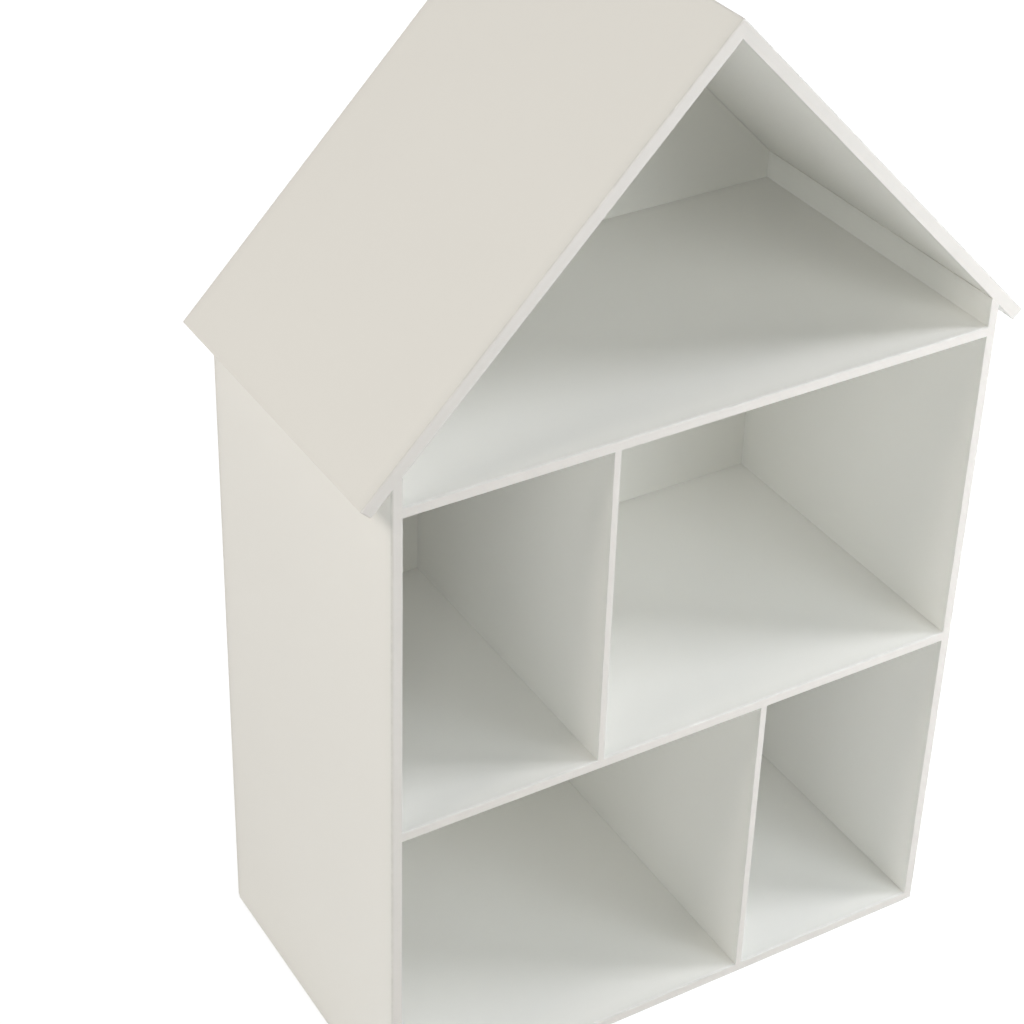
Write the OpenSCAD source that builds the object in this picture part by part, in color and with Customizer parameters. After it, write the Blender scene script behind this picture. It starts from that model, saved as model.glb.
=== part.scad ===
// House shaped bookcase: thin painted boards, a pitched roof over an attic shelf,
// and two rows of rooms under it, each row split by one upright.
// Millimetres. The floor is z = 0, x runs across the width and y from the open front to the back.

/* [Case] */
// Width of the case, across the outer faces of its two sides
case_w = 550; // [480:1:640]
// Depth of the boards, from the front edge to the back edge
board_depth = 300; // [240:1:360]
// Thickness of each side
side_t = 9; // [8:0.5:15]
// Thickness of the base board
base_t = 9; // [8:0.5:15]
// Thickness of the middle shelf
shelf_t = 9; // [8:0.5:15]
// Thickness of the attic floor
attic_t = 9; // [8:0.5:15]
// Clear height of the lower row of rooms
lower_clear = 295; // [240:1:340]
// Clear height of the upper row of rooms
upper_clear = 297; // [240:1:340]

/* [Dividers] */
// Thickness of the two dividers
divider_t = 6; // [5:0.5:9]
// Clear width of the narrow room at the left of the upper row
upper_room_w = 179; // [120:1:240]
// Clear width of the narrow room at the right of the lower row
lower_room_w = 185; // [120:1:240]
// Depth of the grooves that hold the dividers
groove_depth = 3; // [2:0.25:3.5]
// How far behind the front edge the grooves stop
groove_stop = 12; // [8:1:40]
// Clearance of a divider in its groove, on each side and at its end
groove_gap = 0.1; // [0.05:0.05:0.3]

/* [Roof] */
// Slope of the roof, in degrees
roof_slope = 46.2; // [40:0.1:52]
// Thickness of each roof board
roof_t = 11; // [10:0.5:15]
// How far each roof board reaches past the outer face of its side
eave_overhang = 25; // [14:1:50]
// Height of each side's inner face above the attic floor
knee_h = 26.5; // [24:0.5:60]
// Thickness of the tongue in the mitred ridge
tongue_t = 2.5; // [2:0.5:3]
// Width of the ridge tongue, across both boards
tongue_w = 10; // [6:1:10]
// Depth of the tongue's middle below the outer ridge line
tongue_drop = 10.5; // [10:0.25:11.5]
// How far the tongue stops short of each end of the ridge
tongue_stop = 12; // [8:1:60]
// Clearance of the tongue in its groove, all round
tongue_gap = 0.1; // [0.05:0.05:0.2]

/* [Back] */
// Thickness of the back panel
back_t = 3; // [3:0.5:6]
// How far the panel's side edges lie inside the outer faces of the case
back_inset = 1; // [0.5:0.5:2]
// Gap between the panel's sloping edges and the roof boards
back_gap = 0.5; // [0.2:0.1:1]
// Thickness of the block under the ridge, from front to back
block_t = 18; // [16:1:30]
// Height of the block under the ridge
block_h = 45; // [42:1:60]
// Diameter of the wall screw's hole through the block and the panel
wall_hole_d = 5; // [4:0.5:6]
// Depth of the wall screw's hole below the inner ridge line
wall_hole_drop = 28; // [24:1:32]

/* [Dowels] */
// Diameter of the dowels
dowel_d = 5; // [4:0.5:5.5]
// Dowels in each joint
dowel_count = 3; // [2:1:5]
// Distance of the outermost dowels from the front and back edges
dowel_margin = 40; // [30:1:80]
// Depth of the dowel holes that are drilled into a face
dowel_face_depth = 6; // [4:0.5:6]
// Depth of the dowel holes that are drilled into a board's end
dowel_end_depth = 15; // [10:1:16]
// Clearance round a dowel in its hole
dowel_gap = 0.1; // [0.05:0.05:0.2]
// Room for glue at each end of a dowel
dowel_end_gap = 0.5; // [0.25:0.25:1]

/* [Nails] */
// Diameter of the back panel nails
nail_d = 1.6; // [1.2:0.1:2]
// Length of the nails, head included
nail_len = 16; // [12:1:20]
// Diameter of the nail heads
head_d = 4; // [3:0.5:5]
// Thickness of the nail heads, which are driven flush
head_t = 0.8; // [0.5:0.1:1]
// Clearance round a nail in its hole
nail_gap = 0.1; // [0.05:0.05:0.15]
// Nails up each side
side_nails = 7; // [4:1:9]
// Nails along each cross board
board_nails = 4; // [3:1:4]
// Distance of the outermost nails from the ends of the board that they are driven into
nail_margin = 20; // [16:1:50]
// Distance of the block's two nails from its middle
block_nail_x = 16; // [12:1:18]

/* [Feet] */
// Diameter of the felt pads
pad_d = 20; // [16:1:30]
// Thickness of the felt pads
pad_t = 3; // [2:0.5:5]
// Distance of each pad from the outer edges of the case
pad_margin = 4; // [2:1:10]

/* [Hidden] */
$fn = 48;
over = 1;
paint = [0.87, 0.85, 0.81];
raw_wood = [0.80, 0.67, 0.47];
steel = [0.62, 0.63, 0.64];
felt = [0.42, 0.41, 0.39];

overall_d = board_depth + back_t;
front_y = -overall_d / 2;
back_y = front_y + board_depth;
rear_y = front_y + overall_d;

half_w = case_w / 2;
inner_x = half_w - side_t;
side_mid_x = half_w - side_t / 2;
ridge_x = half_w + eave_overhang;

base_z = pad_t;
base_top = base_z + base_t;
shelf_z = base_top + lower_clear;
shelf_top = shelf_z + shelf_t;
attic_z = shelf_top + upper_clear;
attic_top = attic_z + attic_t;
base_mid_z = base_z + base_t / 2;
shelf_mid_z = shelf_z + shelf_t / 2;
attic_mid_z = attic_z + attic_t / 2;

roof_v = roof_t / cos(roof_slope);
ridge_under_z = attic_top + knee_h + inner_x * tan(roof_slope);
ridge_z = ridge_under_z + roof_v;
eave_z = ridge_z - ridge_x * tan(roof_slope);

upper_divider_x = -inner_x + upper_room_w;
lower_divider_x = inner_x - lower_room_w - divider_t;

panel_w = case_w - 2 * back_inset;
wall_hole_z = ridge_under_z - wall_hole_drop;
dowel_ys = spread(dowel_count, front_y + dowel_margin, back_y - dowel_margin);
side_nail_zs = spread(side_nails, base_z + nail_margin, attic_top - nail_margin);
board_nail_xs = spread(board_nails, -inner_x + nail_margin, inner_x - nail_margin);

// Evenly spread values, from the first to the last.
function spread(count, first, last) =
    [for (i = [0 : count - 1]) first + i * (last - first) / (count - 1)];

// Height of the roof's underside at a distance from the middle.
function roof_under(x) = ridge_under_z - abs(x) * tan(roof_slope);

// Draws an outline in x and z and carries it back from the front edge.
module from_front(depth) {
    translate([0, front_y + depth, 0]) rotate([90, 0, 0]) linear_extrude(depth) children();
}

module both_sides() {
    children();
    mirror([1, 0, 0]) children();
}

// Dowels across the joint of one cross board and the left side, at the board's mid height.
module cross_dowels(z, r, end_gap) {
    length = dowel_face_depth + dowel_end_depth - 2 * end_gap;
    for (y = dowel_ys)
        translate([-inner_x - dowel_face_depth + end_gap, y, z])
            rotate([0, 90, 0]) cylinder(r = r, h = length);
}

module cross_dowel_holes(z) {
    cross_dowels(z, dowel_d / 2 + dowel_gap, 0);
}

// Upright dowels from the left side's bevelled top into the roof board.
module roof_dowels(r, end_gap) {
    foot_z = roof_under(side_mid_x) - dowel_end_depth + end_gap;
    length = dowel_face_depth + dowel_end_depth - 2 * end_gap;
    for (y = dowel_ys)
        translate([-side_mid_x, y, foot_z]) cylinder(r = r, h = length);
}

// Nails through the back panel, at points in x and z. A gap turns them into their holes.
module nails(points, gap) {
    for (p = points)
        translate([p[0], rear_y, p[1]]) rotate([90, 0, 0]) {
            translate([0, 0, -gap]) cylinder(d = head_d + 2 * gap, h = head_t + gap);
            cylinder(d = nail_d + 2 * gap, h = nail_len + gap);
        }
}

function side_nail_points(side) = [for (z = side_nail_zs) [side * side_mid_x, z]];
function board_nail_points(z) = [for (x = board_nail_xs) [x, z]];
function block_nail_points() = [for (side = [-1, 1]) [side * block_nail_x, wall_hole_z]];

// A board between the two sides, doweled at both ends and nailed to along its back edge.
module cross_board(z, thickness) {
    mid_z = z + thickness / 2;
    difference() {
        translate([-inner_x, front_y, z]) cube([2 * inner_x, board_depth, thickness]);
        both_sides() cross_dowel_holes(mid_z);
        nails(board_nail_points(mid_z), nail_gap);
    }
}

// The groove for a divider in a face at height z, open at the board's back edge.
module divider_groove(x, z) {
    translate([x - groove_gap, front_y + groove_stop - groove_gap, z - groove_depth])
        cube([divider_t + 2 * groove_gap, board_depth, 2 * groove_depth]);
}

// An upright whose tongues fill the stopped grooves above and below it.
module divider(x, z, clear_h) {
    tongue = groove_depth - groove_gap;
    translate([x, front_y, z]) cube([divider_t, board_depth, clear_h]);
    translate([x, front_y + groove_stop, z - tongue])
        cube([divider_t, board_depth - groove_stop, clear_h + 2 * tongue]);
}

// The left side: its top is bevelled to lie under the roof board.
module side_board() {
    difference() {
        from_front(board_depth)
            polygon([[-half_w, base_z], [-inner_x, base_z],
                     [-inner_x, roof_under(inner_x)], [-half_w, roof_under(half_w)]]);
        cross_dowel_holes(base_mid_z);
        cross_dowel_holes(shelf_mid_z);
        cross_dowel_holes(attic_mid_z);
        roof_dowels(dowel_d / 2 + dowel_gap, 0);
        nails(side_nail_points(-1), nail_gap);
    }
}

// The tongue in the ridge, or its groove where a gap is given.
module tongue(gap) {
    width = tongue_w + 2 * gap;
    thickness = tongue_t + 2 * gap;
    length = overall_d - 2 * tongue_stop + 2 * gap;
    translate([-width / 2, front_y + tongue_stop - gap, ridge_z - tongue_drop - thickness / 2])
        cube([width, length, thickness]);
}

// The left roof board: mitred upright at the ridge and cut square at the eave.
module roof_board() {
    difference() {
        from_front(overall_d)
            polygon([[0, ridge_z], [-ridge_x, eave_z],
                     [-ridge_x + roof_t * sin(roof_slope), eave_z - roof_t * cos(roof_slope)],
                     [0, ridge_under_z]]);
        roof_dowels(dowel_d / 2 + dowel_gap, 0);
        tongue(tongue_gap);
    }
}

// The hole for the screw that ties the top of the case to a wall.
module wall_hole() {
    translate([0, rear_y + over, wall_hole_z]) rotate([90, 0, 0])
        cylinder(d = wall_hole_d, h = back_t + block_t + 2 * over);
}

module base_board() {
    color(paint) difference() {
        cross_board(base_z, base_t);
        divider_groove(lower_divider_x, base_top);
    }
}

module left_side() {
    color(paint) side_board();
}

module right_side() {
    color(paint) mirror([1, 0, 0]) side_board();
}

module middle_shelf() {
    color(paint) difference() {
        cross_board(shelf_z, shelf_t);
        divider_groove(lower_divider_x, shelf_z);
        divider_groove(upper_divider_x, shelf_top);
    }
}

module attic_floor() {
    color(paint) difference() {
        cross_board(attic_z, attic_t);
        divider_groove(upper_divider_x, attic_z);
    }
}

module upper_divider() {
    color(paint) divider(upper_divider_x, shelf_top, upper_clear);
}

module lower_divider() {
    color(paint) divider(lower_divider_x, base_top, lower_clear);
}

module left_roof_board() {
    color(paint) roof_board();
}

module right_roof_board() {
    color(paint) mirror([1, 0, 0]) roof_board();
}

module ridge_tongue() {
    color(raw_wood) tongue(0);
}

// A glued block that fills the back of the ridge and takes the wall screw.
module ridge_block() {
    foot_z = ridge_under_z - block_h;
    foot_x = block_h / tan(roof_slope);
    color(paint) difference() {
        translate([0, board_depth - block_t, 0]) from_front(block_t)
            polygon([[0, ridge_under_z], [-foot_x, foot_z], [foot_x, foot_z]]);
        wall_hole();
        nails(block_nail_points(), nail_gap);
    }
}

module back_panel() {
    half = panel_w / 2;
    foot_z = base_z + back_inset;
    shoulder_z = roof_under(half) - back_gap;
    color(paint) difference() {
        translate([0, board_depth, 0]) from_front(back_t)
            polygon([[-half, foot_z], [half, foot_z], [half, shoulder_z],
                     [0, ridge_under_z - back_gap], [-half, shoulder_z]]);
        wall_hole();
        nails(side_nail_points(-1), nail_gap);
        nails(side_nail_points(1), nail_gap);
        for (z = [base_mid_z, shelf_mid_z, attic_mid_z])
            nails(board_nail_points(z), nail_gap);
        nails(block_nail_points(), nail_gap);
    }
}

module base_dowels() {
    color(raw_wood) both_sides() cross_dowels(base_mid_z, dowel_d / 2, dowel_end_gap);
}

module middle_shelf_dowels() {
    color(raw_wood) both_sides() cross_dowels(shelf_mid_z, dowel_d / 2, dowel_end_gap);
}

module attic_floor_dowels() {
    color(raw_wood) both_sides() cross_dowels(attic_mid_z, dowel_d / 2, dowel_end_gap);
}

module left_roof_dowels() {
    color(raw_wood) roof_dowels(dowel_d / 2, dowel_end_gap);
}

module right_roof_dowels() {
    color(raw_wood) mirror([1, 0, 0]) roof_dowels(dowel_d / 2, dowel_end_gap);
}

module back_nails() {
    color(steel) {
        nails(side_nail_points(-1), 0);
        nails(side_nail_points(1), 0);
        for (z = [base_mid_z, shelf_mid_z, attic_mid_z])
            nails(board_nail_points(z), 0);
        nails(block_nail_points(), 0);
    }
}

// Pads under the four corners, each across the joint of a side and the base board.
module felt_pads() {
    inset = pad_margin + pad_d / 2;
    color(felt) both_sides()
        for (y = [front_y + inset, back_y - inset])
            translate([-half_w + inset, y, 0]) cylinder(d = pad_d, h = pad_t);
}

base_board();
left_side();
right_side();
middle_shelf();
attic_floor();
upper_divider();
lower_divider();
left_roof_board();
right_roof_board();
ridge_tongue();
ridge_block();
back_panel();
base_dowels();
middle_shelf_dowels();
attic_floor_dowels();
left_roof_dowels();
right_roof_dowels();
back_nails();
felt_pads();
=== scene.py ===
import bpy
import numpy as np
from mathutils import Matrix, Vector


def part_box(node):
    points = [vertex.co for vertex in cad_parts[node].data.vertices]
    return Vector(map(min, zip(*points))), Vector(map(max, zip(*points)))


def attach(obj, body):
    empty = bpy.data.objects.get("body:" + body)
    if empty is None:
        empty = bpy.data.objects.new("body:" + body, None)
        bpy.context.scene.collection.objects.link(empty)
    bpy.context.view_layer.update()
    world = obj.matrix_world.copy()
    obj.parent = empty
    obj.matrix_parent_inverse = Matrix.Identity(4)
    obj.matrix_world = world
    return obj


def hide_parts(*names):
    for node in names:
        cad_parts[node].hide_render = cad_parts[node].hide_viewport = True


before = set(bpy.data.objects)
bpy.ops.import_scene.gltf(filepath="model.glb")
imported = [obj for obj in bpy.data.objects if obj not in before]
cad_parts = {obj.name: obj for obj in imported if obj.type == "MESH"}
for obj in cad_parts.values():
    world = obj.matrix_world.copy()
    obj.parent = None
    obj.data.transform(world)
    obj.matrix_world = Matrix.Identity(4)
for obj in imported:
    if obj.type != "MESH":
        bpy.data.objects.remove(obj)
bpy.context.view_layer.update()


# ---------------------------------------------------------------- the camera
# It stands to the left of the bookcase and above it, at the height of an
# adult's eyes, and looks down into the open rooms through a longish lens.
# The shift keeps the bookcase as far off the middle as the photograph has it.
CAMERA_PLACE = (-0.9513, -1.4051, 1.6106)
CAMERA_YAW, CAMERA_PITCH, CAMERA_ROLL = np.radians([29.13, 32.01, 0.35])
FOCAL_PIXELS, FRAME_PIXELS = 2450.0, 1024.0
AXIS_PIXEL = (420.0, 394.0)     # where the lens points, in the photograph's pixels
SENSOR = 36.0                   # width of the film, in millimetres as the lens is

camera_data = bpy.data.cameras.new("camera")
camera = bpy.data.objects.new("camera", camera_data)
bpy.context.scene.collection.objects.link(camera)
bpy.context.scene.camera = camera
camera_data.sensor_width = SENSOR
camera_data.lens = SENSOR * FOCAL_PIXELS / FRAME_PIXELS
camera_data.shift_x = (FRAME_PIXELS / 2 - AXIS_PIXEL[0]) / FRAME_PIXELS
camera_data.shift_y = (AXIS_PIXEL[1] - FRAME_PIXELS / 2) / FRAME_PIXELS
camera_data.clip_start, camera_data.clip_end = 0.05, 60.0
forward = Vector((np.sin(CAMERA_YAW) * np.cos(CAMERA_PITCH),
                  np.cos(CAMERA_YAW) * np.cos(CAMERA_PITCH), -np.sin(CAMERA_PITCH)))
level = Vector((np.cos(CAMERA_YAW), -np.sin(CAMERA_YAW), 0.0))
upward = level.cross(forward)
camera_x = level * np.cos(CAMERA_ROLL) + upward * np.sin(CAMERA_ROLL)
camera_y = upward * np.cos(CAMERA_ROLL) - level * np.sin(CAMERA_ROLL)
camera.matrix_world = Matrix.Translation(CAMERA_PLACE) @ Matrix(
    (camera_x, camera_y, -forward)).transposed().to_4x4()


# ----------------------------------------------------------------- the sides
# Two uprights sawn from 9 mm MDF. Their tops are bevelled to the roof's slope,
# and the roof boards lie on them. The long arrises are sanded round before the
# satin paint is rolled on, together with that of every other board.
ARRIS = 0.0010                      # radius that one pass of sandpaper leaves
ROUNDED = 0.0020                    # radius of the outer arrises, which hands meet
CRISP = 0.00035                     # radius of an inner arris, after one light stroke
HIDDEN = 0.0005                     # radius of an arris that a joint hides
SHARP = 0.0001                      # radius of an arris left sharp for the back panel
ARRIS_STEPS = 5                     # faces on the way round an arris
RIM = np.array([0.004, 0.011])      # how far the darkened rim reaches over a face: worn paint and painted shade
RIM_SOFT = np.array([0.14, 0.0])    # how strong it still is at those distances
RIM_EDGE = 0.35                     # how strong it is where the arris runs out
RIM_ROOM = 2.5                      # a face narrower than this many rims has none


def rounded_board(corners, start, end, axis, broad, corner_arris=ARRIS, end_arris=ARRIS,
                  far_arris=None, mitred=(), rim_strength=1.0):
    """A board: an outline carried along an axis, with every arris rounded.

    The two parameters are the way round the outline and the way along the
    axis. Towards each end, side i of the outline moves inwards by
    r * (1 - cos t) while it moves along by r * sin t, so its end arris is a
    quarter round with its own radius r. far_arris gives the far end other
    radii. A corner is an arc from one side's normal to the next, about the
    point where both sides cross once moved inwards by the corner's radius; at
    radius zero it stays sharp. A mitred side never moves, and its end follows
    its two neighbours.

    broad is the way the board's wide faces look. The result is points, normals
    and two masks, on a grid of rings by outline. rim is strong along the
    arrises, times the last argument on those of the outline; on an end it is
    strongest near the side. The paint darkens by it, as worn paint and as
    painted shade along the arrises. The second mask is one less the squared
    share of the normal along broad: one on the narrow sawn edges, zero on the
    wide faces; the paint darkens there too, as paint sunk into the edge and as
    painted shade on the edges.
    """
    corner = np.asarray(corners, float)
    count = len(corner)
    run = np.roll(corner, -1, 0) - corner
    length = np.linalg.norm(run, axis=1)
    after = np.stack([run[:, 1], -run[:, 0]], 1) / length[:, None]
    before = np.roll(after, 1, 0)
    joined = np.isin(np.arange(count), mitred)
    corner_r = np.broadcast_to(corner_arris, count)[:, None]
    near_r = np.broadcast_to(end_arris, count)[:, None]
    far_r = near_r if far_arris is None else np.broadcast_to(far_arris, count)[:, None]
    share = np.linspace(0, 1, ARRIS_STEPS + 1)

    # The rings: how far each side has moved inwards and along.
    tilt = np.linspace(-np.pi / 2, 0, ARRIS_STEPS + 1)
    lean = np.concatenate([tilt, np.zeros(2 * len(RIM)), -tilt[::-1]])
    end_r = np.repeat(np.concatenate([near_r, far_r], 1), len(lean) // 2, 1)
    shrink = np.where(joined[:, None], 0.0, end_r * (1 - np.cos(lean)))
    between = np.concatenate([start + RIM, end - RIM[::-1]])
    onward = np.concatenate([start + near_r * (1 + np.sin(tilt)),
                             np.tile(between, (count, 1)),
                             end - far_r * (1 + np.sin(tilt[::-1]))], 1)
    end_rim = RIM_EDGE + (1 - RIM_EDGE) * np.sin(np.pi * share ** 2)
    ring_rim = np.concatenate([end_rim, RIM_SOFT, RIM_SOFT[::-1], end_rim[::-1]])

    # The corners: an arc in each ring, from the side before to the side after.
    turn = np.arccos(np.clip((before * after).sum(1), -1, 1))
    angle = np.arctan2(before[:, 1], before[:, 0])[:, None] + turn[:, None] * share
    arc = np.stack([np.cos(angle), np.sin(angle)], 2)
    arc_rim = rim_strength * (corner_r > 0) * (RIM_EDGE + (1 - RIM_EDGE) * np.sin(np.pi * share))
    shrink_before, onward_before = np.roll(shrink, 1, 0), np.roll(onward, 1, 0)
    keep = np.stack([np.maximum(corner_r, shrink_before), np.maximum(corner_r, shrink)], 1)
    left = keep - np.stack([shrink_before, shrink], 1)
    crossing = np.linalg.inv(np.stack([before, after], 1))
    middle = corner[:, None] - np.einsum("cij,cjr->cri", crossing, keep)
    reach = left[:, 0, :, None] * (1 - share) + left[:, 1, :, None] * share
    first_on = np.where(np.roll(joined, 1)[:, None], onward, onward_before)[..., None]
    last_on = np.where(joined[:, None], onward_before, onward)[..., None]
    arcs = np.concatenate([middle[:, :, None] + reach[..., None] * arc[:, None],
                           (first_on * (1 - share) + last_on * share)[..., None]], 3)

    # The sides: from arc to arc, with a line at each distance of the rim.
    line, facing, rim = [], [], []
    for i in range(count):
        n = (i + 1) % count
        part = (np.concatenate([RIM, length[i] - RIM[::-1]]) / length[i]
                if RIM[-1] * RIM_ROOM < length[i] else np.zeros(0))
        first, last = arcs[i, :, -1], arcs[n, :, 0]
        flats = first[:, None] + (last - first)[:, None] * part[:, None]
        line.append(np.concatenate([arcs[i], flats], 1))
        facing.append(np.concatenate([arc[i], np.repeat(after[i:i + 1], len(part), 0)]))
        soft = rim_strength * np.concatenate([RIM_SOFT * (corner_r[i] > 0),
                                        RIM_SOFT[::-1] * (corner_r[n] > 0)])
        rim.append(np.concatenate([arc_rim[i], soft[:len(part)]]))
    line, facing, rim = np.concatenate(line, 1), np.concatenate(facing), np.concatenate(rim)

    points, normals = np.empty_like(line), np.empty_like(line)
    across = [(axis + 1) % 3, (axis + 2) % 3]
    points[..., across], points[..., axis] = line[..., :2], line[..., 2]
    normals[..., across] = facing * np.cos(lean)[:, None, None]
    normals[..., axis] = np.sin(lean)[:, None]
    sawn_and_shade = 1 - (normals @ np.asarray(broad, float)) ** 2
    return points, normals, {"rim": np.maximum(rim, ring_rim[:, None]), "sawn_and_shade": sawn_and_shade}


def mirrored(points, normals, masks):
    """The same board for the right-hand side: x changes sign, and so does the way round."""
    flip = np.array([-1.0, 1.0, 1.0])
    return (points[:, ::-1] * flip, normals[:, ::-1] * flip,
            {mask: strength[:, ::-1] for mask, strength in masks.items()})


WELD_GRID = 1e7             # points that round to the same 1e-7 m are welded
SMOOTH_BELOW = np.radians(35)


def closed_mesh(name, *shells):
    """A mesh of closed shells, each a grid of rings with a flat cap on each end.

    Neighbouring rings are joined by quads. Points that fall together are
    welded, and quads that shrink to a line go. A shell without normals gets
    them from its faces, with a sharp edge wherever two of them turn far.
    """
    points, masks, faces, corner_normals = [], {}, [], []
    used = 0
    for place, facing, strengths in shells:
        rings, count = place.shape[:2]
        grid = np.arange(rings * count).reshape(rings, count)
        turned_on = np.roll(grid, -1, 1)
        quads = np.stack([grid[:-1], turned_on[:-1], turned_on[1:], grid[1:]], 2).reshape(-1, 4)
        flat = place.reshape(-1, 3)
        _, chosen, welded = np.unique(np.round(flat * WELD_GRID).astype(np.int64), axis=0,
                                      return_index=True, return_inverse=True)
        welded = welded.reshape(-1) + used
        for ids in [*quads, grid[-1], grid[0][::-1]]:
            spots = welded[ids]
            new = spots != np.roll(spots, 1)
            if new.sum() > 2:
                faces.append(spots[new].tolist())
                if facing is not None:
                    corner_normals.extend(facing.reshape(-1, 3)[ids][new].tolist())
        points.append(flat[chosen])
        for mask, strength in strengths.items():
            masks.setdefault(mask, []).append(strength.reshape(-1)[chosen])
        used += len(chosen)
    mesh = bpy.data.meshes.new(name)
    mesh.from_pydata(np.concatenate(points).tolist(), [], faces)
    mesh.polygons.foreach_set("use_smooth", np.ones(len(faces), bool))
    for mask, strength in masks.items():
        mesh.attributes.new(mask, "FLOAT", "POINT").data.foreach_set(
            "value", np.concatenate(strength).astype(np.float32))
    if corner_normals:
        mesh.normals_split_custom_set(corner_normals)
    else:
        mesh.set_sharp_from_angle(angle=SMOOTH_BELOW)
    return mesh


def add_piece(name, shells, finish, solid):
    """Shows the shells as one piece of the bookcase, in place of a CAD node."""
    mesh = closed_mesh(name, *shells)
    mesh.materials.append(finish)
    piece = bpy.data.objects.new(name, mesh)
    bpy.context.scene.collection.objects.link(piece)
    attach(piece, "root")
    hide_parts(solid)


def node(tree, kind, links=None, **settings):
    """Adds a shader node. links gives its inputs, as values or as other sockets."""
    made = tree.nodes.new(kind)
    for key, value in settings.items():
        setattr(made, key, value)
    for key, value in (links or {}).items():
        if isinstance(value, bpy.types.NodeSocket):
            tree.links.new(value, made.inputs[key])
        else:
            made.inputs[key].default_value = value
    return made


def reckoned(tree, operation, *terms, clamp=False):
    """The outcome of one operation on terms, which are numbers or sockets."""
    return node(tree, "ShaderNodeMath", dict(enumerate(terms)), operation=operation,
                use_clamp=clamp).outputs[0]


def new_group(name, inputs, outputs):
    """An empty shader group with named inputs and outputs, and its two end nodes."""
    group = bpy.data.node_groups.new(name, "ShaderNodeTree")
    for label, kind, value in inputs:
        made = group.interface.new_socket(label, in_out="INPUT", socket_type="NodeSocket" + kind)
        if value is not None:
            made.default_value = value
    for label, kind in outputs:
        group.interface.new_socket(label, in_out="OUTPUT", socket_type="NodeSocket" + kind)
    return group, group.nodes.new("NodeGroupInput"), group.nodes.new("NodeGroupOutput")


# A roller leaves a fine pebbled skin with slower swells under it. Height drives
# the bump, and Cloud is a slow drift in how thick the paint lies.
SWELL_HEIGHT = 1.6      # how high a swell is, next to a pebble
roller, roller_in, roller_out = new_group(
    "roller_skin", [("Place", "Vector", None), ("Pebbles", "Float", 620.0),
                    ("Swells", "Float", 90.0)], [("Height", "Float"), ("Cloud", "Float")])
pebbles = node(roller, "ShaderNodeTexNoise", {
    "Vector": roller_in.outputs["Place"], "Scale": roller_in.outputs["Pebbles"],
    "Detail": 2.0, "Roughness": 0.45})
swells = node(roller, "ShaderNodeTexNoise", {
    "Vector": roller_in.outputs["Place"], "Scale": roller_in.outputs["Swells"],
    "Detail": 1.0, "Roughness": 0.4})
cloud = node(roller, "ShaderNodeTexNoise", {
    "Vector": roller_in.outputs["Place"], "Scale": 4.2, "Detail": 3.0, "Roughness": 0.55})
roller.links.new(reckoned(roller, "MULTIPLY_ADD", swells.outputs["Fac"], SWELL_HEIGHT,
                          pebbles.outputs["Fac"]), roller_out.inputs["Height"])
roller.links.new(cloud.outputs["Fac"], roller_out.inputs["Cloud"])

# Along the arrises the paint is darker: partly where hands and sandpaper thin
# it, partly painted shade, the dark line along each arris. The mask follows the
# rim of each board and is weaker where the noise is low.
worn_and_shaded, worn_and_shaded_in, worn_and_shaded_out = new_group(
    "worn_and_shaded_rim", [("Place", "Vector", None), ("Rim", "Float", 0.0), ("Grain", "Float", 130.0)],
    [("Mask", "Float")])
patchy = node(worn_and_shaded, "ShaderNodeTexNoise", {
    "Vector": worn_and_shaded_in.outputs["Place"], "Scale": worn_and_shaded_in.outputs["Grain"],
    "Detail": 4.0, "Roughness": 0.6})
kept = node(worn_and_shaded, "ShaderNodeMapRange", {
    "Value": patchy.outputs["Fac"], "From Min": 0.35, "From Max": 0.7,
    "To Min": 0.6, "To Max": 1.0})
worn_and_shaded.links.new(reckoned(worn_and_shaded, "MULTIPLY", worn_and_shaded_in.outputs["Rim"], kept.outputs["Result"],
                        clamp=True), worn_and_shaded_out.inputs["Mask"])


def new_finish(name):
    """A new material: itself, its tree, its shader, and a point's place on the object."""
    finish = bpy.data.materials.new(name)
    finish.use_nodes = True
    tree = finish.node_tree
    return (finish, tree, tree.nodes["Principled BSDF"],
            node(tree, "ShaderNodeTexCoord").outputs["Object"])


def add_relief(tree, shader, height, strength, depth):
    """Gives a surface the bumps of a pattern of heights, depth metres deep."""
    bump = node(tree, "ShaderNodeBump", {"Height": height, "Strength": strength,
                                         "Distance": depth})
    tree.links.new(bump.outputs["Normal"], shader.inputs["Normal"])


PAINT = (0.870, 0.855, 0.815)           # on the broad faces
SAWN_AND_SHADED_PAINT = (0.693, 0.640, 0.595)      # where it sank into a sawn edge, and painted shade on the edges
WORN_AND_SHADED_PAINT = (0.540, 0.530, 0.505)      # where it is worn off, and painted shade along the arrises
RIM_DARKENING = 0.6         # how far the full rim takes the colour to the darkest paint
DRIFT_THIN = 0.028      # how far the roller's drift takes it there
SAWN_DULL = 0.25        # how dull a sawn edge is, next to worn paint
ROUGHER = 0.14          # roughness that the dullest places have on top
PAINT_SPECULAR = 0.3    # the gloss of satin paint, below a varnish's 0.5
SKIN_DEPTH = 0.0001     # depth of the roller's skin


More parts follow.
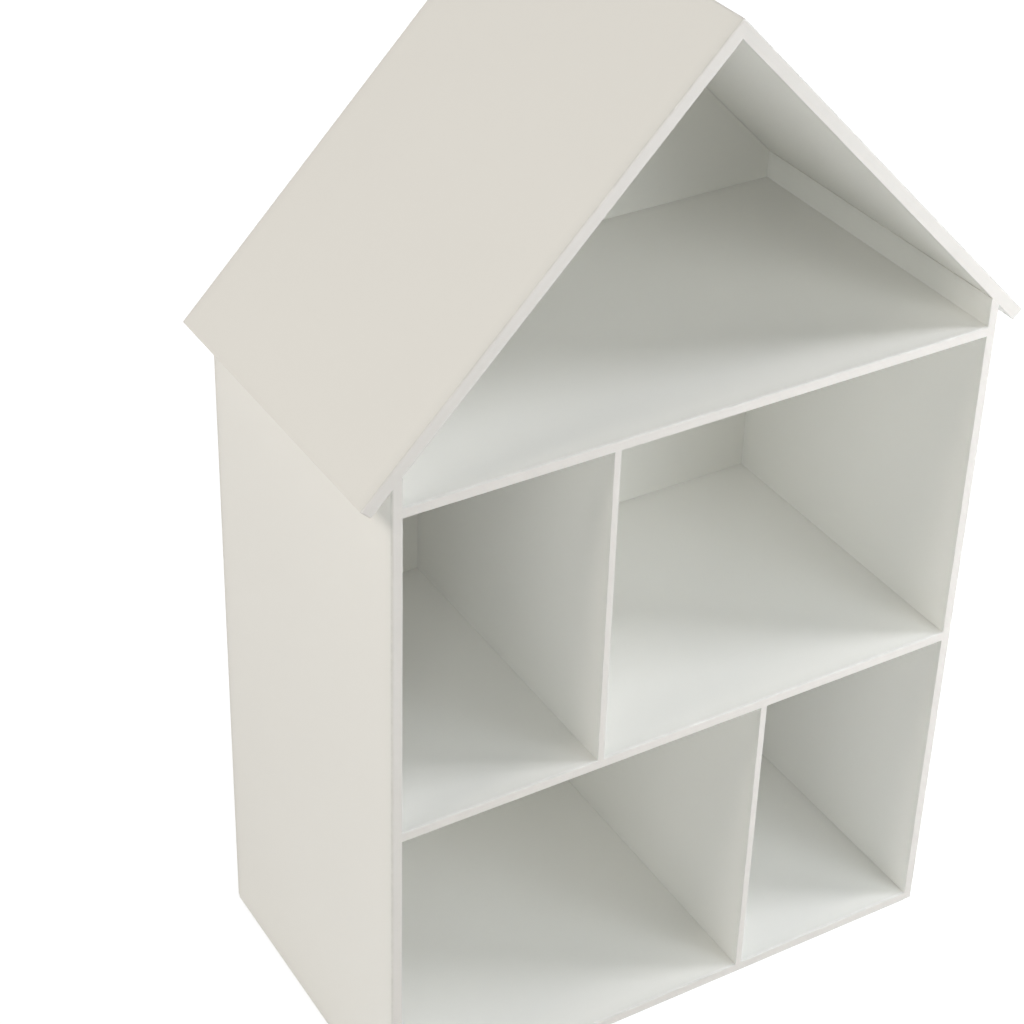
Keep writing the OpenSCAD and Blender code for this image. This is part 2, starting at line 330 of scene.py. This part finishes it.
def paint(name, colour, roughness, bump):
    """Satin paint. Its colour goes to the sawn edges' colour by the mask of narrow edges,
    then to the darkest colour by the rim plus the drift, and it dulls as both of them grow.
    The narrow edges are darker as paint sunk into them and as painted shade; the rim is
    darker as worn paint and as painted shade along the arrises."""
    finish, tree, shader, place = new_finish(name)
    rim = node(tree, "ShaderNodeAttribute", attribute_name="rim").outputs["Fac"]
    sawn_and_shade = node(tree, "ShaderNodeAttribute", attribute_name="sawn_and_shade").outputs["Fac"]
    skin = node(tree, "ShaderNodeGroup", {"Place": place}, node_tree=roller)
    wear_and_shade = node(tree, "ShaderNodeGroup", {"Place": place, "Rim": rim}, node_tree=worn_and_shaded)
    # The narrow edges take a darker colour: paint sunk into sawn MDF, and painted shade.
    board = node(tree, "ShaderNodeMix", {"Factor": sawn_and_shade}, data_type="RGBA")
    board.inputs["A"].default_value = (*colour, 1)
    board.inputs["B"].default_value = (*SAWN_AND_SHADED_PAINT, 1)
    drift = node(tree, "ShaderNodeMapRange", {
        "Value": skin.outputs["Cloud"], "From Min": 0.3, "From Max": 0.7,
        "To Min": 0.0, "To Max": DRIFT_THIN})
    # The rim darkens the paint: worn paint and painted shade along the arrises.
    thinning_and_shade = reckoned(tree, "MULTIPLY_ADD", wear_and_shade.outputs["Mask"], RIM_DARKENING,
                        drift.outputs["Result"], clamp=True)
    tone = node(tree, "ShaderNodeMix", {"Factor": thinning_and_shade}, data_type="RGBA")
    tree.links.new(board.outputs["Result"], tone.inputs["A"])
    tone.inputs["B"].default_value = (*WORN_AND_SHADED_PAINT, 1)
    tree.links.new(tone.outputs["Result"], shader.inputs["Base Color"])
    gloss = node(tree, "ShaderNodeMapRange", {
        "Value": reckoned(tree, "MULTIPLY_ADD", sawn_and_shade, SAWN_DULL, thinning_and_shade),
        "From Min": 0.0, "From Max": 0.5,
        "To Min": roughness, "To Max": roughness + ROUGHER})
    tree.links.new(gloss.outputs["Result"], shader.inputs["Roughness"])
    add_relief(tree, shader, skin.outputs["Height"], bump, SKIN_DEPTH)
    shader.inputs["Specular IOR Level"].default_value = PAINT_SPECULAR
    return finish


board_paint = paint("satin_paint_on_boards", PAINT, 0.46, 0.35)

ROOF_SLOPE = np.radians(46.2)
CASE_HALF, CASE_INNER = 0.275, 0.266    # x of a side's outer and inner face
FRONT, BACK = -0.1515, 0.1485           # y of the boards' front and back edges
CASE_FOOT = 0.003                       # z of the sides' feet, on the felt pads
RIDGE_UNDER = 0.925885                  # z at which the roof's undersides meet
BEDDED = CRISP + HIDDEN     # how far a board's end reaches under its neighbour's arris

side_top = [RIDGE_UNDER - x * np.tan(ROOF_SLOPE) + BEDDED for x in (CASE_HALF, CASE_INNER)]
for side, name in ((-1, "left"), (1, "right")):
    corners = [(CASE_FOOT, -CASE_HALF), (side_top[0], -CASE_HALF),
               (side_top[1], -CASE_INNER), (CASE_FOOT, -CASE_INNER)]
    shell = rounded_board(corners, FRONT, BACK, 1, (1, 0, 0),
                          end_arris=(ROUNDED, ARRIS, CRISP, ARRIS),
                          far_arris=(ARRIS, SHARP, SHARP, ARRIS))
    if side > 0:
        shell = mirrored(*shell)
    add_piece(f"{name}_upright", [shell], board_paint, f"{name}_side")


# ---------------------------------------------------------- the cross boards
# The base, the middle shelf and the attic floor: 9 mm MDF cut square, doweled
# between the uprights and flush with them in front. Filler and paint close
# the butt joints, so each end runs on under the upright's rounded arris.
SHELF_ARRIS = 0.0014        # a board's upper front arris, which books slide over
for name, low, high, solid in (("base", 0.003, 0.012, "base_board"),
                               ("shelf", 0.307, 0.316, "middle_shelf"),
                               ("attic", 0.613, 0.622, "attic_floor")):
    corners = [(FRONT, low), (BACK, low), (BACK, high), (FRONT, high)]
    shell = rounded_board(corners, -CASE_INNER - BEDDED, CASE_INNER + BEDDED, 0, (0, 0, 1),
                          (CRISP, SHARP, SHARP, SHELF_ARRIS), HIDDEN)
    add_piece(f"{name}_plank", [shell], board_paint, solid)


# -------------------------------------------------------------- the dividers
# Thin uprights of 6 mm MDF, one in each row, glued into stopped grooves that
# the front edge hides. A touch of sandpaper has softened the front edge.
DIVIDER_THICK = 0.006
DIVIDER_ARRIS = 0.0006      # the left front arris; the right one is left crisp
for name, left, low, high, solid in (
        ("upper", -0.087, 0.316, 0.613, "upper_divider"),
        ("lower", 0.075, 0.012, 0.307, "lower_divider")):
    corners = [(left, FRONT), (left + DIVIDER_THICK, FRONT), (left + DIVIDER_THICK, BACK),
               (left, BACK)]
    shell = rounded_board(corners, low - SHELF_ARRIS - HIDDEN, high + BEDDED, 2, (1, 0, 0),
                          (DIVIDER_ARRIS, CRISP, SHARP, SHARP), HIDDEN)
    add_piece(f"{name}_partition", [shell], board_paint, solid)


# ----------------------------------------------------------- the roof boards
# Two 11 mm boards, mitred upright at the ridge and cut square at the eaves,
# doweled down into the tops of the sides. They run over the back panel's top
# edges. The mitre is glued tight, so its arrises stay sharp.
ROOF_THICK = 0.011
ROOF_REAR = 0.1515          # y of the roof's back edge, flush with the panel
EAVE_X, EAVE_Z = 0.300, 0.628926        # the eave's outermost arris
RIDGE_ROUND = 0.0022        # the ridge is sanded over once the two boards are one
EAVE_ARRIS = 0.0008         # the eave's upper arris stays crisper
VERGE_ARRIS = 0.0014        # the arrises along the slope's front and back
ROOF_RIM_STRENGTH = 0.15          # the ridge and the eaves get a weak rim: little wear, little painted shade
SLOPE_SIN, SLOPE_COS = np.sin(ROOF_SLOPE), np.cos(ROOF_SLOPE)
round_half = RIDGE_ROUND * np.tan(ROOF_SLOPE / 2)
ridge_out = (RIDGE_UNDER + ROOF_THICK / SLOPE_COS - round_half * np.tan(ROOF_SLOPE), -round_half)
eave_in = (EAVE_Z - ROOF_THICK * SLOPE_COS, -EAVE_X + ROOF_THICK * SLOPE_SIN)
for side, name in ((-1, "left"), (1, "right")):
    corners = [(RIDGE_UNDER, 0.0), eave_in, (EAVE_Z, -EAVE_X), ridge_out,
               (ridge_out[0], 0.0)]
    shell = rounded_board(corners, FRONT, ROOF_REAR, 1, (SLOPE_SIN, 0, -SLOPE_COS),
                          (0, ARRIS, EAVE_ARRIS, RIDGE_ROUND, 0),
                          (CRISP, VERGE_ARRIS, VERGE_ARRIS, VERGE_ARRIS, VERGE_ARRIS),
                          mitred=(4,), rim_strength=ROOF_RIM_STRENGTH)
    if side > 0:
        shell = mirrored(*shell)
    add_piece(f"{name}_slope", [shell], board_paint, f"{name}_roof_board")


# ----------------------------------------------- the ridge block and the back
# A glued block stiffens the back of the ridge and takes the wall screw. The
# back is a 3 mm MDF sheet with one thin coat of the paint, darker than the
# boards': partly the thin coat, partly painted shade at the back of the rooms.
# Both keep their solids, which carry no rim or sawn mask, so the paint on
# them is even.
block_paint = paint("satin_paint_on_block", PAINT, 0.5, 0.4)
# Darker than the boards' paint: a thin coat and painted shade.
panel_paint_and_shade = paint("thin_paint_and_shade_on_back", (0.752, 0.732, 0.684), 0.55, 0.5)
for solid, finish in (("ridge_block", block_paint), ("back_panel", panel_paint_and_shade)):
    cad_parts[solid].data.materials.clear()
    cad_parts[solid].data.materials.append(finish)


# ------------------------------------------------------ the dowels and tongue
# Fluted beech dowels, 5 mm thick, let the glue out as they are driven. They
# join each cross board to the sides and the sides to the roof. A loose beech
# tongue lies in the mitre of the ridge. All of them are hidden in the boards.
DOWEL_R, DOWEL_END_R = 0.0025, 0.00178
DOWEL_LENGTH, CHAMFER = 0.020, 0.0009
DOWEL_YS = (-0.1115, -0.0015, 0.1085)
DOWEL_STEPS, FLUTES, FLUTE_DEPTH = 64, 16, 0.00022
TONGUE_ARRIS = 0.0004
FLECKS_ALONG, FLECKS_ACROSS = 90.0, 1400.0      # in a metre, by the way of the grain


def turned(stations, radii, centre, axis, steps, flutes=0, flute_depth=0.0):
    """A turned shape: at each station along the axis, a circle of its radius.

    Where the radius is full, it loses flute_depth times the square of
    sin(flutes * turn / 2) on its way round. Elsewhere it is plain.
    """
    turn = np.linspace(0, 2 * np.pi, steps, endpoint=False)
    radii = np.asarray(radii, float)[:, None]
    waist = radii - flute_depth * np.sin(flutes * turn / 2) ** 2 * (radii >= radii.max())
    points = np.empty(waist.shape + (3,))
    points[..., (axis + 1) % 3] = centre[(axis + 1) % 3] + waist * np.cos(turn)
    points[..., (axis + 2) % 3] = centre[(axis + 2) % 3] + waist * np.sin(turn)
    points[..., axis] = np.asarray(stations, float)[:, None]
    return points, None, {}


def add_two_tones(tree, shader, pattern, low, low_colour, high, high_colour):
    """Colours a surface by a pattern: low_colour up to low, high_colour from high on."""
    tone = node(tree, "ShaderNodeValToRGB", {"Fac": pattern})
    first, last = tone.color_ramp.elements
    first.position, first.color = low, (*low_colour, 1)
    last.position, last.color = high, (*high_colour, 1)
    tree.links.new(tone.outputs["Color"], shader.inputs["Base Color"])


def beech(name, axis):
    """Bare beech with its grain along an axis: noise that is finer across the grain
    makes its short dark flecks."""
    finish, tree, shader, place = new_finish(name)
    scale = [FLECKS_ALONG if axis == i else FLECKS_ACROSS for i in range(3)]
    along = node(tree, "ShaderNodeMapping", {"Vector": place, "Scale": scale})
    fleck = node(tree, "ShaderNodeTexNoise", {
        "Vector": along.outputs["Vector"], "Scale": 1.0, "Detail": 4.0,
        "Roughness": 0.65}).outputs["Fac"]
    add_two_tones(tree, shader, fleck, 0.32, (0.36, 0.21, 0.11), 0.62, (0.60, 0.42, 0.25))
    add_relief(tree, shader, fleck, 0.4, 0.0001)
    shader.inputs["Roughness"].default_value = 0.72
    return finish


lying_beech = beech("beech_grain_sideways", 0)
standing_beech = beech("beech_grain_upright", 2)
for solid in ("base_dowels", "middle_shelf_dowels", "attic_floor_dowels",
              "left_roof_dowels", "right_roof_dowels"):
    low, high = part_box(solid)
    if "roof" in solid:
        axis, wood = 2, standing_beech
        middles = [((low.x + high.x) / 2, y, 0) for y in DOWEL_YS]
        spans = [(low.z, high.z)]
    else:
        axis, wood = 0, lying_beech
        middles = [(0, y, (low.z + high.z) / 2) for y in DOWEL_YS]
        spans = [(low.x, low.x + DOWEL_LENGTH), (high.x - DOWEL_LENGTH, high.x)]
    add_piece(f"fluted_{solid}", [
        turned([first, first + CHAMFER, last - CHAMFER, last],
               [DOWEL_END_R, DOWEL_R, DOWEL_R, DOWEL_END_R],
               middle, axis, DOWEL_STEPS, FLUTES, FLUTE_DEPTH)
        for first, last in spans for middle in middles], wood, solid)

low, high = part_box("ridge_tongue")
corners = [(low.z, low.x), (high.z, low.x), (high.z, high.x), (low.z, high.x)]
shell = rounded_board(corners, low.y, high.y, 1, (1, 0, 0), TONGUE_ARRIS, TONGUE_ARRIS)
add_piece("beech_tongue", [shell], beech("beech_grain_lengthwise", 1),
          "ridge_tongue")


# ------------------------------------------------------------------ the nails
# Zinc-plated flat-headed nails hold the back, driven flush into the sheet:
# seven up each side, four along each cross board, and two into the ridge block.
PANEL_REAR = 0.1515         # y of the sheet's outer face
NAIL_STEPS = 24
HEAD_R, SHANK_R = 0.0020, 0.0008
NAIL_DEPTHS = np.array([0.0160, 0.0145, 0.0010, 0.0008, 0.00065, 0.00018, 0.00005, 0.0,
                        0.00012])       # from the point to the dimple in the head
NAIL_RADII = [0.00005, SHANK_R, SHANK_R, 0.0018, HEAD_R, HEAD_R, 0.00185, 0.0015, 0.0006]
SIDE_NAIL_X, SIDE_NAIL_ZS = 0.2705, np.linspace(0.023, 0.602, 7)
BOARD_NAIL_XS, BOARD_NAIL_ZS = np.linspace(-0.246, 0.246, 4), (0.0075, 0.3115, 0.6175)
BLOCK_NAIL_X, BLOCK_NAIL_Z = 0.016, RIDGE_UNDER - 0.028
nail_points = [(side * SIDE_NAIL_X, z) for side in (-1, 1) for z in SIDE_NAIL_ZS]
nail_points += [(x, z) for z in BOARD_NAIL_ZS for x in BOARD_NAIL_XS]
nail_points += [(side * BLOCK_NAIL_X, BLOCK_NAIL_Z) for side in (-1, 1)]

zinc, tree, shader, place = new_finish("zinc_plated_nails")
spangle = node(tree, "ShaderNodeTexVoronoi", {"Vector": place, "Scale": 1500.0})
scuff = node(tree, "ShaderNodeTexNoise", {
    "Vector": place, "Scale": 2600.0, "Detail": 3.0}).outputs["Fac"]
gloss = node(tree, "ShaderNodeMapRange", {"Value": scuff, "To Min": 0.26, "To Max": 0.5})
add_two_tones(tree, shader, spangle.outputs["Distance"],
              0.0, (0.62, 0.63, 0.64), 1.0, (0.44, 0.45, 0.46))
tree.links.new(gloss.outputs["Result"], shader.inputs["Roughness"])
add_relief(tree, shader, scuff, 0.3, 0.00005)
shader.inputs["Metallic"].default_value = 1.0
add_piece("flat_headed_nails", [
    turned(PANEL_REAR - NAIL_DEPTHS, NAIL_RADII, (x, 0, z), 1, NAIL_STEPS)
    for x, z in nail_points], zinc, "back_nails")


# ------------------------------------------------------------------- the feet
# Four stick-on pads of pressed grey felt, each across the joint of a side and
# the base. The cut rim bulges a little and fluffs.
PAD_STEPS = 48
PAD_R = 0.0100
PAD_STATIONS = [0.0, 0.0004, 0.0012, 0.0021, 0.0027, 0.0030]
PAD_RADII = PAD_R - np.array([0.0006, 0.00022, 0.00006, 0.00005, 0.0002, 0.0005])
felt, tree, shader, place = new_finish("pressed_grey_felt")
fibres = node(tree, "ShaderNodeTexNoise", {
    "Vector": place, "Scale": 1500.0, "Detail": 5.0, "Roughness": 0.7,
    "Distortion": 1.8}).outputs["Fac"]
add_two_tones(tree, shader, fibres, 0.3, (0.085, 0.08, 0.075), 0.7, (0.24, 0.23, 0.215))
add_relief(tree, shader, fibres, 0.9, 0.0004)
shader.inputs["Roughness"].default_value = 0.95
shader.inputs["Sheen Weight"].default_value = 0.35
low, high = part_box("felt_pads")
add_piece("felt_feet", [
    turned(PAD_STATIONS, PAD_RADII, (x, y, 0), 2, PAD_STEPS)
    for x in (low.x + PAD_R, high.x - PAD_R) for y in (low.y + PAD_R, high.y - PAD_R)],
    felt, "felt_pads")


# ------------------------------------------------------------------ the stage
# A plain white floor in a white room. The camera, and gloss that mirrors the
# room, see both as white; a light touch of real shading keeps the shadow. The
# floor grows paler away from the bookcase, so that its far end doesn't show.
FLOOR_REACH = 9.0
floor_mesh = bpy.data.meshes.new("floor")
floor_mesh.from_pydata([(x * FLOOR_REACH, y * FLOOR_REACH, 0)
                        for x, y in ((-1, -1), (1, -1), (1, 1), (-1, 1))], [], [(0, 1, 2, 3)])
floor = bpy.data.objects.new("floor", floor_mesh)
bpy.context.scene.collection.objects.link(floor)


def seen_directly(tree):
    """One for rays from the camera, a mirror or glass, and zero for the light's own."""
    path = node(tree, "ShaderNodeLightPath").outputs
    seen = reckoned(tree, "MAXIMUM", path["Is Camera Ray"], path["Is Glossy Ray"])
    return reckoned(tree, "MAXIMUM", seen, path["Is Transmission Ray"])


floor_finish, tree, shader, place = new_finish("white_floor")
shader.inputs["Base Color"].default_value = (0.86, 0.86, 0.85, 1)
shader.inputs["Roughness"].default_value = 0.9
away = node(tree, "ShaderNodeVectorMath", {0: place}, operation="LENGTH")
paler = node(tree, "ShaderNodeMapRange", {
    "Value": away.outputs["Value"], "From Min": 0.8, "From Max": 2.2,
    "To Min": 0.87, "To Max": 1.0})
shown_white = node(tree, "ShaderNodeEmission", {"Color": (1, 1, 1, 1),
                                                "Strength": paler.outputs["Result"]})
shown_shade = node(tree, "ShaderNodeBsdfDiffuse", {"Color": (0.22, 0.22, 0.22, 1)})
shown_floor = node(tree, "ShaderNodeAddShader", {0: shown_white.outputs[0],
                                                 1: shown_shade.outputs[0]})
floor_mix = node(tree, "ShaderNodeMixShader", {
    0: seen_directly(tree), 1: shader.outputs[0], 2: shown_floor.outputs[0]})
tree.links.new(floor_mix.outputs[0], tree.nodes["Material Output"].inputs["Surface"])
floor_mesh.materials.append(floor_finish)

world = bpy.data.worlds.new("studio")
bpy.context.scene.world = world
world.use_nodes = True
white_room = world.node_tree.nodes["Background"]
white_room.inputs["Color"].default_value = (1, 1, 1, 1)
world.node_tree.links.new(seen_directly(world.node_tree), white_room.inputs["Strength"])


# ------------------------------------------------------------------ the lamps
# The key on the right throws the shelves' shadows left and down. A soft wall of
# light lies in front, and a warmer box on the left. Two small boxes close on
# the right reach into the rooms, and one behind keeps the back from going dark.
LAMPS_AIM = Vector((0, 0, 0.45))        # the middle of the bookcase


def lamp(name, place, size, power, colour):
    """A square soft box at place that shines on the middle of the bookcase."""
    data = bpy.data.lights.new(name, "AREA")
    data.shape, data.size, data.energy, data.color = "SQUARE", size, power, colour
    made = bpy.data.objects.new(name, data)
    bpy.context.scene.collection.objects.link(made)
    made.location = place
    made.rotation_euler = (LAMPS_AIM - Vector(place)).to_track_quat("-Z", "Y").to_euler()


lamp("key", (2.42, -1.13, 2.39), 0.85, 46.8, (0.92, 0.94, 1.00))
lamp("left_box", (-2.38, 0.00, 2.59), 1.3, 46.9, (1.00, 0.94, 0.88))
lamp("front_left_high", (-3.15, -5.46, 5.38), 3.0, 58.5, (0.94, 1.00, 0.99))
lamp("front_left_low", (-3.91, -6.78, 2.11), 3.0, 74.0, (0.92, 1.00, 0.98))
lamp("far_left_low", (-6.78, -3.91, 2.11), 3.0, 51.3, (0.98, 1.00, 0.97))
lamp("front_high", (0.00, -6.30, 5.38), 3.0, 51.6, (0.95, 1.00, 0.98))
lamp("near_right_high", (0.56, -1.19, 0.93), 0.5, 3.4, (0.90, 0.96, 1.00))
lamp("near_right_low", (0.74, -1.06, 0.56), 0.5, 5.1, (0.88, 0.94, 1.00))
lamp("back_box", (0.70, 3.20, 1.50), 1.3, 45.0, (1.0, 1.0, 1.0))

bpy.context.scene.view_settings.view_transform = "Standard"
